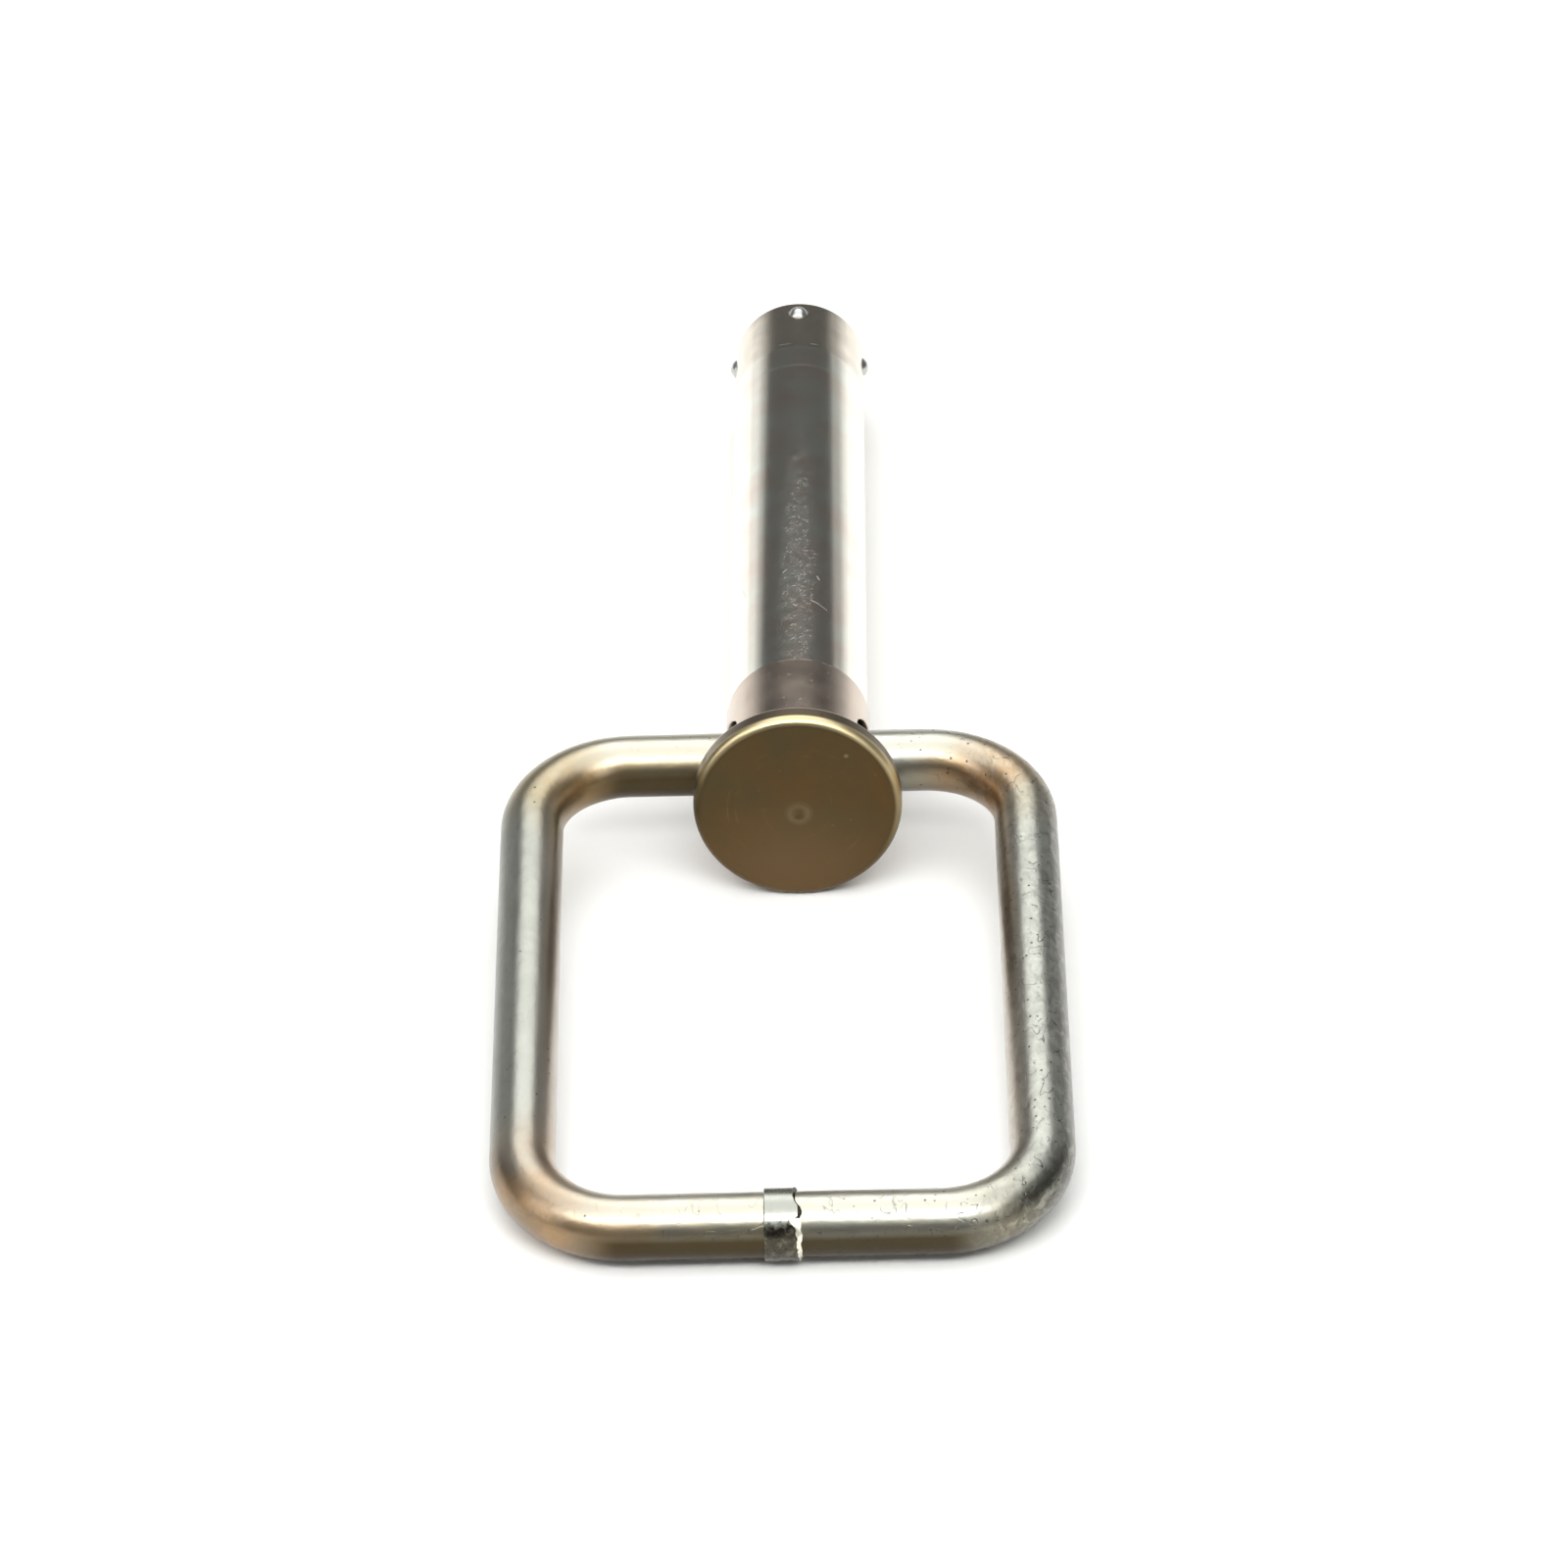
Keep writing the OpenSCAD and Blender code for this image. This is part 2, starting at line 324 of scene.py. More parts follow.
def spin_profile(bm, profile, steps):
    """Turns a chain of (radius, height) points about Z into a closed skin."""
    verts = [bm.verts.new((r, 0, z)) for r, z in profile]
    edges = [bm.edges.new(pair) for pair in zip(verts, verts[1:])]
    spin(bm, verts + edges, (0, 0, 0), 0, 2 * math.pi, steps, True)
    bmesh.ops.remove_doubles(bm, verts=bm.verts, dist=NEAR / 100)
    bmesh.ops.recalc_face_normals(bm, faces=bm.faces)


def round_edges(bm, edges, size, segments):
    """Rounds edges to an arc."""
    how = {"offset_type": "OFFSET", "profile": 0.5, "affect": "EDGES", "material": -1}
    bmesh.ops.bevel(bm, geom=edges, offset=size, segments=segments, **how)


def round_ring(bm, radius, height, size, segments):
    """Rounds the ring of edges at one radius and height."""

    def on_ring(spot):
        off = max(abs(spot.z - height), abs(math.hypot(spot.x, spot.y) - radius))
        return off < NEAR / 10

    ring = [edge for edge in bm.edges if all(on_ring(vert.co) for vert in edge.verts)]
    round_edges(bm, ring, size, segments)


def new_piece(name, bm, place, body, materials, sharp=30):
    """Makes the finished object of a bmesh, smooth but for its sharp edges, on its body."""
    limit = math.radians(sharp)
    for face in bm.faces:
        face.smooth = True
    for edge in bm.edges:
        edge.smooth = not (len(edge.link_faces) == 2 and edge.calc_face_angle(0) > limit)
    mesh = bpy.data.meshes.new(name)
    bm.to_mesh(mesh)
    bm.free()
    mesh.transform(place)
    for material in materials:
        mesh.materials.append(material)
    piece = bpy.data.objects.new(name, mesh)
    bpy.context.scene.collection.objects.link(piece)
    weighted = piece.modifiers.new("flat faces stay flat", "WEIGHTED_NORMAL")
    weighted.mode = "FACE_AREA"
    weighted.weight = 100
    weighted.keep_sharp = True
    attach(piece, body)
    return piece


def cut_mesh(bm, cutter):
    """Cuts one closed bmesh out of another and returns the result."""
    objects = []
    for name, part in (("blank", bm), ("cutter", cutter)):
        mesh = bpy.data.meshes.new(name)
        part.to_mesh(mesh)
        part.free()
        obj = bpy.data.objects.new(name, mesh)
        bpy.context.scene.collection.objects.link(obj)
        objects.append(obj)
    blank, tool = objects
    boolean = blank.modifiers.new("cut", "BOOLEAN")
    boolean.operation = "DIFFERENCE"
    boolean.solver = "EXACT"
    boolean.object = tool
    graph = bpy.context.evaluated_depsgraph_get()
    result = bmesh.new()
    result.from_mesh(blank.evaluated_get(graph).to_mesh())
    for obj in objects:
        mesh = obj.data
        bpy.data.objects.remove(obj)
        bpy.data.meshes.remove(mesh)
    same = NEAR / 20
    bmesh.ops.remove_doubles(result, verts=result.verts, dist=same)
    bmesh.ops.dissolve_degenerate(result, edges=result.edges, dist=same)
    return result


def add(tree, kind, inputs=(), out=0, **settings):
    """Adds a shader node with its settings, inputs and links; returns one of its outputs, or all for None."""
    node = tree.nodes.new("ShaderNode" + kind)
    for field, value in settings.items():
        setattr(node, field, value)
    for socket, value in inputs.items() if isinstance(inputs, dict) else enumerate(inputs):
        target = node.inputs[socket]
        if isinstance(value, bpy.types.NodeSocket):
            tree.links.new(value, target)
        else:
            target.default_value = (*value, 1) if target.type == "RGBA" else value
    return node.outputs if out is None else node.outputs[out]


def new_material(name):
    """A material with an empty node tree, and that tree."""
    material = bpy.data.materials.new(name)
    material.use_nodes = True
    material.node_tree.nodes.clear()
    return material, material.node_tree


def dress(material, colour, gloss, height, strength, depth, coat=None, invert=False):
    """Joins a metal's colour, roughness and relief, its depth in millimetres, and returns the material."""
    tree = material.node_tree
    relief = {"Height": height, "Strength": strength, "Distance": depth * MM}
    normal = add(tree, "Bump", relief, invert=invert)
    skin = {"Base Color": colour, "Roughness": gloss, "Normal": normal, "Metallic": 1.0, **(coat or {})}
    add(tree, "OutputMaterial", {"Surface": add(tree, "BsdfPrincipled", skin)}, None)
    return material


def own_point(tree, place):
    """A piece's own coordinates in millimetres, from the matrix that places it."""
    inputs = {
        "Vector": add(tree, "TexCoord", out="Object"),
        "Location": place.translation,
        "Rotation": place.to_euler(),
        "Scale": (MM, MM, MM),
    }
    return add(tree, "Mapping", inputs, vector_type="TEXTURE")


def pin_surface(tree):
    """The pin's own millimetres: the point, its radius, and a map of arc from the top against length."""
    point = own_point(tree, pin_place())
    flat = add(tree, "VectorMath", (point, (1, 1, 0)), **TIMES)
    radius = add(tree, "VectorMath", (flat,), "Value", operation="LENGTH")
    axes = add(tree, "SeparateXYZ", (point,), None)
    up = add(tree, "Math", (axes["Y"], -1.0), **TIMES)
    turn = add(tree, "Math", (axes["X"], up), operation="ARCTAN2")
    arc = add(tree, "Math", (turn, radius), **TIMES)
    return point, radius, add(tree, "CombineXYZ", (arc, axes["Z"]))


def loop_surface(tree):
    """The loop's own millimetres: the point, and how far it lies outside the bar's centre line."""
    loop = bpy.context.scene.drawbar_handle
    point = own_point(tree, loop_place())
    core = ((loop.width / 2 - loop.bend_r) / MM, (loop.length / 2 - loop.bend_r) / MM, 0)
    folded = add(tree, "VectorMath", (point,), operation="ABSOLUTE")
    flat = add(tree, "VectorMath", (folded, (1, 1, 0)), **TIMES)
    past = add(tree, "VectorMath", (flat, core), operation="SUBTRACT")
    past = add(tree, "VectorMath", (past, (0, 0, 0)), operation="MAXIMUM")
    reach = add(tree, "VectorMath", (past,), "Value", operation="LENGTH")
    return point, add(tree, "Math", (reach, loop.bend_r / MM), operation="SUBTRACT")


def strongest(tree, shares):
    """The greatest of several shares at each point."""
    result = shares[0]
    for share in shares[1:]:
        result = add(tree, "Math", (result, share), operation="MAXIMUM")
    return result


def paint(tree, colour, *coats):
    """Lays colours over a first one in turn, each by its own share at each point."""
    for share, over in coats:
        colour = add(tree, "Mix", {0: share, 6: colour, 7: over}, 2, data_type="RGBA")
    return colour


def patch(tree, where, middle, reach, soft):
    """A soft round patch: 1 inside a reach in millimetres, 0 beyond reach plus soft."""
    away = add(tree, "VectorMath", (where, middle), "Value", operation="DISTANCE")
    return add(tree, "MapRange", (away, reach, reach + soft, 1.0, 0.0), **SMOOTH)


def tool_lines(tree, path, pitch, detail):
    """Turning marks of about one pitch in millimetres along a path."""
    along = add(tree, "Math", (path, 1 / pitch), **TIMES)
    return add(tree, "TexNoise", {"W": along, "Scale": 1.0, "Detail": detail}, noise_dimensions="1D")


def scratches(tree, where, *kinds):
    """Fine marks, each kind with its turn in degrees, its width and length in millimetres, and its rarity."""
    shares = []
    for turn, width, size, rare in kinds:
        laid = add(tree, "Mapping", {"Vector": where, "Rotation": (0, 0, math.radians(turn))})
        drawn = add(tree, "VectorMath", (laid, (1 / width, 1 / size, 1)), **TIMES)
        lines = add(tree, "TexNoise", {"Vector": drawn, "Scale": 1.0, "Detail": 1.0})
        shares.append(add(tree, "MapRange", (lines, rare, rare + 0.05)))
    return strongest(tree, shares)


def gouges(tree, where, *marks):
    """Straight marks, each between two points of the unrolled surface and of one width, in millimetres."""
    shares = []
    for start, end, width in marks:
        start, end = Vector((*start, 0)), Vector((*end, 0))
        run = end - start
        off = add(tree, "VectorMath", (where, start), operation="SUBTRACT")
        along = add(tree, "VectorMath", (off, run / run.length_squared), "Value", operation="DOT_PRODUCT")
        held = add(tree, "Clamp", (along,))
        foot = add(tree, "VectorMath", {0: run, "Scale": held}, operation="SCALE")
        away = add(tree, "VectorMath", (off, foot), "Value", operation="DISTANCE")
        shares.append(add(tree, "MapRange", (away, 0.25 * width, 0.6 * width, 1.0, 0.0)))
    return strongest(tree, shares)


def head_finish(colours):
    """Turned steel under a dark yellow passivate: olive brown, with a rim worn to gold and painted as a
    highlight at the top.
    """
    material, tree = new_material("Dark passivated turned steel")
    point, radius, _ = pin_surface(tree)
    cloud = add(tree, "TexNoise", {"Vector": point, "Scale": 1 / 11, "Detail": 4.0})
    film = add(tree, "MapRange", (cloud, 0.35, 0.65))
    # Painted reflection of the floor: the face is lighter towards its bottom
    low = patch(tree, point, (-1, 19, 0), 0, 26)
    brown = paint(tree, colours.head, (film, colours.head_brown), (low, colours.head_floor_reflection))
    # Turning marks are far finer; 0.3 mm is as fine as the render can show
    rings = tool_lines(tree, radius, 0.3, 2.0)
    # A few rings show as broken pale arcs where the tool left a coarser line
    arcs = add(tree, "MapRange", (tool_lines(tree, radius, 0.8, 1.0), 0.6, 0.75))
    broken = add(tree, "TexNoise", {"Vector": point, "Scale": 1 / 5, "Detail": 2.0})
    broken = add(tree, "MapRange", (broken, 0.5, 0.7))
    arcs = add(tree, "Math", (arcs, broken), **TIMES)
    specks = add(tree, "TexVoronoi", {"Vector": point, "Scale": 1 / 3.2})
    specks = add(tree, "MapRange", (specks, 0.05, 0.09, 1.0, 0.0))
    faint = add(tree, "Math", (strongest(tree, [arcs, specks]), 0.1), **TIMES)
    # The ring of the nub is painted lighter as a highlight on its ridge, and one small knock shows bright
    nub_middle, nub_ring = (0.2, 1.0, 0), 1.6
    nub = add(tree, "VectorMath", (point, nub_middle), "Value", operation="DISTANCE")
    nub = add(tree, "Math", (nub, nub_ring), operation="SUBTRACT")
    nub = add(tree, "Math", (nub,), operation="ABSOLUTE")
    nub = add(tree, "MapRange", (nub, 0.1, 1.1, 0.2, 0.0))
    knock = patch(tree, point, (8.7, -10.7, 0), 0.15, 0.4)
    knock = add(tree, "Math", (knock, 0.5), **TIMES)
    face = paint(tree, brown, (strongest(tree, [faint, nub, knock]), colours.head_wear_and_highlight))
    # The rim is worn to gold, and painted lighter at the top as a highlight
    rim = add(tree, "MapRange", (radius, 16.9, 17.7), **SMOOTH)
    rim = add(tree, "Math", (rim, patch(tree, point, (5, -15, 1), 12, 16)), **TIMES)
    depth = add(tree, "SeparateXYZ", (point,), "Z")
    behind = add(tree, "MapRange", (depth, 1.3, 1.9), **SMOOTH)
    back = add(tree, "MapRange", (depth, 3.75, 4.0))
    # The side behind the rim is greyer, rubbed by the hand and peppered with small dark pits
    side = paint(tree, colours.head_side, (cloud, shade(colours.head_side, 0.7)), (specks, colours.head))
    colour = paint(tree, face, (rim, colours.head_rim_wear_and_highlight), (behind, side), (back, colours.collar))
    gloss = add(tree, "MapRange", (cloud, 0.3, 0.7, 0.32, 0.42))
    height = add(tree, "Math", (rings, arcs), operation="ADD")
    return dress(material, colour, gloss, height, 0.35, 0.008)


def collar_finish(colours):
    """Drawn bar under bright zinc: pale and faintly pink, with a short blur, pits and handling marks."""
    material, tree = new_material("Bright zinc on drawn steel")
    point, radius, unrolled = pin_surface(tree)
    cloud = add(tree, "TexNoise", {"Vector": point, "Scale": 1 / 5, "Detail": 5.0})
    tone = add(tree, "MapRange", (cloud, 0.3, 0.7))
    pits = add(tree, "TexVoronoi", {"Vector": point, "Scale": 1 / 2.4})
    pits = add(tree, "MapRange", (pits, 0.04, 0.08, 0.6, 0.0))
    zinc = paint(
        tree, shade(colours.collar, 0.86), (tone, colours.collar), (pits, shade(colours.collar, 0.45))
    )
    lines = scratches(tree, unrolled, (35, 0.16, 3.0, 0.74), (-60, 0.16, 2.5, 0.75))
    dents = gouges(
        tree,
        unrolled,
        ((-1.5, 24.7), (-1.1, 24.2), 0.2),
        ((0.5, 15.8), (0.9, 16.2), 0.2),
        ((-2.4, 17.0), (-2.1, 16.8), 0.2),
    )
    # The bore keeps the dull drill finish and a dark film
    outside = add(tree, "MapRange", (radius, 11.9, 12.3))
    skin = paint(tree, colours.bore, (outside, zinc))
    # A worn turned line runs round just short of the shank
    seam_at, seam_half = 29.45, 0.22
    along = add(tree, "SeparateXYZ", (unrolled,), "Y")
    seam = add(tree, "Math", (along, seam_at, seam_half), operation="COMPARE")
    seam = add(tree, "Math", (seam, add(tree, "MapRange", (cloud, 0.4, 0.6))), **TIMES)
    dull = strongest(tree, [lines, dents, pits, seam])
    gloss = add(tree, "MapRange", (cloud, 0.3, 0.7, 0.215, 0.255))
    gloss = add(tree, "Math", (dull, 0.11, gloss), **TIMES_PLUS)
    # Drawing lines 0.25 mm wide and 14 mm long
    draw = add(tree, "VectorMath", (unrolled, (1 / 0.25, 1 / 14, 1)), **TIMES)
    draw = add(tree, "TexNoise", {"Vector": draw, "Scale": 1.0, "Detail": 2.0})
    height = add(tree, "Math", (dull, -1.5, draw), **TIMES_PLUS)
    return dress(material, skin, gloss, height, 0.25, 0.004)


def shank_finish(colours):
    """Ground steel under bright zinc: a clear mirror, scuffed along the top where it is drawn in and out."""
    material, tree = new_material("Bright zinc on ground steel")
    point, _, unrolled = pin_surface(tree)
    cloud = add(tree, "TexNoise", {"Vector": point, "Scale": 1 / 7, "Detail": 4.0})
    zinc = paint(tree, colours.shank, (add(tree, "MapRange", (cloud, 0.3, 0.7)), colours.shank_warm))
    # The worn stretch lies along the top, about 57 mm from the head, and breaks up into scuffs
    worn_at, squeeze = 57, 0.085
    stretched = add(tree, "VectorMath", (unrolled, (1.0, squeeze, 0)), **TIMES)
    worn = patch(tree, stretched, (0.2, worn_at * squeeze, 0), 1.8, 5.4)
    rough = {"Scale": 1 / 2.4, "Detail": 6.0, "Roughness": 0.72, "Distortion": 0.5}
    scuff = add(tree, "TexNoise", {"Vector": unrolled, **rough})
    scuff = add(tree, "Math", (worn, 0.45, scuff), **TIMES_PLUS)
    scuff = add(tree, "MapRange", (scuff, 0.72, 1.16))
    fine = scratches(tree, unrolled, (12, 0.14, 6.0, 0.74), (-38, 0.14, 3.5, 0.75), (63, 0.16, 3.0, 0.75))
    # Short strokes crowd the worn stretch
    strokes = scratches(tree, unrolled, (24, 0.22, 2.0, 0.64), (-42, 0.22, 1.7, 0.65), (66, 0.22, 1.9, 0.65))
    strokes = add(tree, "Math", (strokes, scuff), **TIMES)
    dents = gouges(
        tree,
        unrolled,
        ((2.6, 50.5), (3.8, 49.9), 0.35),
        ((3.8, 49.9), (5.6, 48.4), 0.25),
        ((-2.6, 60.4), (-1.9, 61.3), 0.2),
        ((3.7, 59.4), (4.1, 58.3), 0.3),
        ((-11.5, 62.0), (-10.6, 58.5), 0.3),
        ((-9.6, 108.0), (-8.8, 109.4), 0.25),
    )
    deep = strongest(tree, [strokes, dents])
    # A faint rubbed ring, where the edge of a bored hole has borne
    ring_at, ring_half = 137.2, 0.35
    along = add(tree, "SeparateXYZ", (unrolled,), "Y")
    ring = add(tree, "Math", (along, ring_at, ring_half), operation="COMPARE")
    ring = add(tree, "Math", (ring, cloud), **TIMES)
    dull = strongest(tree, [scuff, fine, deep, ring])
    gloss = add(tree, "Math", (dull, 0.085, 0.145), **TIMES_PLUS)
    gloss = add(tree, "Math", (deep, 0.15, gloss), **TIMES_PLUS)
    height = add(tree, "Math", (dull, -1.0), **TIMES)
    return dress(material, zinc, gloss, height, 0.3, 0.005)


def tip_finish(colours):
    """Turned tip under zinc that has kept a thin warm film: fine rings round it, and a softer mirror."""
    material, tree = new_material("Warm zinc on turned steel")
    point, radius, unrolled = pin_surface(tree)
    along = add(tree, "SeparateXYZ", (point,), "Z")
    cloud = add(tree, "TexNoise", {"Vector": point, "Scale": 1 / 4, "Detail": 4.0})
    warm = paint(tree, colours.tip, (add(tree, "MapRange", (cloud, 0.3, 0.7)), shade(colours.tip, 0.8)))
    # Turning marks, 0.3 mm apart so that they show: along the side, and as rings on the end
    path = add(tree, "Math", (along, radius), operation="SUBTRACT")
    rings = tool_lines(tree, path, 0.3, 2.0)
    lines = scratches(tree, unrolled, (70, 0.14, 3.0, 0.75))
    dents = gouges(tree, unrolled, ((-3.6, 146.2), (-1.5, 146.0), 0.25), ((2.5, 146.1), (3.6, 146.2), 0.2))
    # The pockets keep the drill's dark finish
    side = add(tree, "MapRange", (radius, 11.3, 11.9))
    end = add(tree, "MapRange", (along, 162.5, 162.8))
    # The facing rings of the end show darker between their crests
    faced = add(tree, "MapRange", (rings, 0.42, 0.62, 0.0, 0.55))
    faced = add(tree, "Math", (faced, end), **TIMES)
    skin = paint(tree, colours.bore, (strongest(tree, [side, end]), warm), (faced, colours.collar))
    gloss = add(tree, "MapRange", (cloud, 0.3, 0.7, 0.16, 0.19))
    gloss = add(tree, "Math", (faced, 0.2, gloss), **TIMES_PLUS)
    gloss = add(tree, "Math", (strongest(tree, [lines, dents]), 0.12, gloss), **TIMES_PLUS)
    crests = add(tree, "Math", (faced, -4.0, rings), **TIMES_PLUS)
    return dress(material, skin, gloss, crests, 0.25, 0.003)


def handle_finish(colours):
    """Bent bar in satin zinc: cool and pale where hands rub it, yellow to orange film where it is kept, with
    a painted highlight along the top of the cross bars and painted shade under them.
    """
    material, tree = new_material("Yellow passivated satin zinc")
    point, outside = loop_surface(tree)
    axes = add(tree, "SeparateXYZ", (point,), None)
    across, height_at = axes["X"], axes["Z"]
    cloud = add(tree, "TexNoise", {"Vector": point, "Scale": 1 / 8, "Detail": 4.0})
    # Painted shade darkens the undersides of the two cross bars, fading out towards the legs
    off_middle = add(tree, "Math", (across,), operation="ABSOLUTE")
    endwise = add(tree, "MapRange", (off_middle, 40.0, 27.0), **SMOOTH)
    legwise = add(tree, "Math", (1.0, endwise), operation="SUBTRACT")
    inner = add(tree, "MapRange", (outside, -0.5, -4.8), **SMOOTH)
    # Painted shade: the outer sides of the legs are darker grey
    outer = add(tree, "MapRange", (outside, 2.2, 4.6), **SMOOTH)
    outer = add(tree, "Math", (outer, legwise), **TIMES)
    under = add(tree, "MapRange", (height_at, 4.0, 1.0, 0.0, 0.95), **SMOOTH)
    under = add(tree, "Math", (under, endwise), **TIMES)
    # To the right of the head the painted shade under the bar is weaker, and the grey metal shows
    less_shade_patch = patch(tree, point, (22, 60, 0), 7, 11)
    kept = add(tree, "Math", (less_shade_patch, -0.55, 1.0), **TIMES_PLUS)
    under = add(tree, "Math", (under, kept), **TIMES)
    colour = paint(tree, colours.zinc, (inner, colours.film), (outer, colours.outer_side_shade))
    films = (
        (colours.steel_blue, (20, 60), 12, 12, 0.9),
        (colours.gold, (-18, 60), 22, 16, 0.95),
        (colours.gold, (-35, 51), 9, 10, 0.6),
        (colours.gold, (-14, -60), 8, 24, 0.7),
        (colours.gold, (36, 51), 9, 12, 0.7),
        (colours.blush, (35, 50), 4, 9, 0.9),
        (colours.blush, (-38, -58), 2, 26, 0.6),
        (colours.blush, (-33, 49), 3, 9, 0.5),
        (colours.gold, (26, -60), 8, 14, 0.35),
    )
    for film, middle, reach, soft, strength in films:
        share = patch(tree, point, (*middle, 0), reach, soft)
        uneven = add(tree, "MapRange", (cloud, 0.25, 0.6, 0.35 * strength, strength))
        colour = paint(tree, colour, (add(tree, "Math", (share, uneven), **TIMES), film))
    # Painted highlight: the tops of the cross bars are painted pale
    highlight_and_rubbed = add(tree, "MapRange", (height_at, 3.4, 5.2, 0.0, 0.7), **SMOOTH)
    highlight_and_rubbed = add(tree, "Math", (highlight_and_rubbed, endwise), **TIMES)
    # Wear is heaviest on the right-hand leg, and on the outer side of the loop
    on_right = add(tree, "MapRange", (across, -30.0, 40.0, 0.2, 1.0))
    right_leg = add(tree, "Math", (on_right, legwise), **TIMES)
    knocked = add(tree, "MapRange", (outside, -1.5, 2.5, 0.35, 1.0))
    # Pits about 0.4 mm across
    cells = add(tree, "TexVoronoi", {"Vector": point, "Scale": 1 / 1.7}, None)
    pits = add(tree, "MapRange", (cells["Distance"], 0.08, 0.17, 1.0, 0.0))
    chosen = add(tree, "SeparateColor", (cells["Color"],), "Red")
    wanted = add(tree, "MapRange", (across, 5.0, 40.0, 0.85, 0.3))
    chosen = add(tree, "Math", (chosen, wanted), operation="GREATER_THAN")
    pits = add(tree, "Math", (pits, chosen), **TIMES)
    # Curved nicks, drawn out along the legs: thin contour lines of a noise, broken up by a second one
    drawn = add(tree, "VectorMath", (point, (1.0, 0.6, 1.0)), **TIMES)
    nicks = add(tree, "TexNoise", {"Vector": drawn, "Scale": 1 / 2.6, "Detail": 1.0, "Distortion": 0.6})
    nicks = add(tree, "Math", (nicks, 0.5), operation="SUBTRACT")
    nicks = add(tree, "Math", (nicks,), operation="ABSOLUTE")
    nicks = add(tree, "MapRange", (nicks, 0.006, 0.02, 1.0, 0.0))
    gaps = add(tree, "TexNoise", {"Vector": point, "Scale": 1 / 2.2, "Detail": 2.0})
    for share in (add(tree, "MapRange", (gaps, 0.5, 0.58)), on_right, knocked):
        nicks = add(tree, "Math", (nicks, share), **TIMES)
    # Smudges are drawn 1.5 mm coarse so that they show: dark on the outer side, pale elsewhere
    coarse = {"Scale": 1 / 1.5, "Detail": 4.0, "Roughness": 0.6, "Distortion": 0.6}
    grain = add(tree, "TexNoise", {"Vector": drawn, **coarse})
    pale = add(tree, "MapRange", (grain, 0.5, 0.34, 0.0, 0.25))
    pale = add(tree, "Math", (pale, right_leg), **TIMES)
    smudge = add(tree, "MapRange", (grain, 0.5, 0.7, 0.0, 0.46))
    for share in (right_leg, knocked):
        smudge = add(tree, "Math", (smudge, share), **TIMES)
    marks = strongest(tree, [pits, nicks])
    dark = add(tree, "Math", (marks, 0.8), **TIMES)
    # Over the base come a painted highlight on the bars' tops, painted shade under the cross bars, pale
    # smudges, dark smudges and pits
    colour = paint(
        tree,
        colour,
        (highlight_and_rubbed, colours.highlight_and_rubbed),
        (under, colours.underside_shade),
        (pale, colours.highlight_and_rubbed),
        (smudge, colours.pit),
        (dark, colours.pit),
    )
    # Shallow waves of the plated skin, 2.5 mm across, roughen the edge of each highlight
    waves = add(tree, "TexNoise", {"Vector": point, "Scale": 1 / 2.5, "Detail": 3.0})
    height = add(tree, "Math", (grain, 0.55, waves), **TIMES_PLUS)
    height = add(tree, "Math", (marks, -0.6, height), **TIMES_PLUS)
    gloss = add(tree, "MapRange", (cloud, 0.3, 0.7, 0.32, 0.4))
    # A thin film of oil lays a white gloss over the yellow metal, less where the painted shade lies under the
    # cross bars
    oil = add(tree, "Math", (under, -0.42, 0.5), **TIMES_PLUS)
    return dress(material, colour, gloss, height, 0.6, 0.11, {"Coat Weight": oil, "Coat Roughness": 0.3})


def weld_finish(colours):
    """Trimmed weld band under zinc: smoother than the bar, mottled olive and cream, its top painted pale as a
    highlight.
    """
    material, tree = new_material("Trimmed plated weld")
    point = own_point(tree, loop_place())
    mottle = add(tree, "TexNoise", {"Vector": point, "Scale": 1 / 1.1, "Detail": 3.0, "Distortion": 0.7})
    share = add(tree, "MapRange", (mottle, 0.5, 0.68))
    # A painted highlight makes its top bright, down to a ragged line
    height_at = add(tree, "SeparateXYZ", (point,), "Z")
    ragged = add(tree, "Math", (mottle, 2.4, height_at), **TIMES_PLUS)
    top = add(tree, "MapRange", (ragged, 4.7, 5.6))
    colour = paint(tree, colours.weld_dark, (share, colours.weld), (top, colours.zinc))
    gloss = add(tree, "MapRange", (mottle, 0.3, 0.7, 0.24, 0.36))
    return dress(material, colour, gloss, mottle, 0.3, 0.03, {"Coat Weight": 0.5, "Coat Roughness": 0.28})


def flash_finish(colours):
    """Bare weld metal pressed into the crack, its colour painted bright cream as a highlight, with small
    ripples.
    """
    material, tree = new_material("Bare weld flash")
    point = own_point(tree, loop_place())
    ripple = add(tree, "TexNoise", {"Vector": point, "Scale": 1 / 0.5, "Detail": 3.0})
    crests = add(tree, "MapRange", (ripple, 0.35, 0.6))
    colour = paint(tree, shade(colours.flash, 0.75), (crests, colours.flash))
    return dress(material, colour, 0.3, ripple, 0.4, 0.03)


def crack_finish(colours):
    """Open crack beside the weld: dark scale, dull and rough."""
    material, tree = new_material("Dark weld scale")
    point = own_point(tree, loop_place())
    crust = add(tree, "TexNoise", {"Vector": point, "Scale": 1 / 0.4, "Detail": 4.0})
    colour = paint(tree, colours.pit, (add(tree, "MapRange", (crust, 0.4, 0.65)), colours.weld))
    return dress(material, colour, 0.5, crust, 0.7, 0.06)


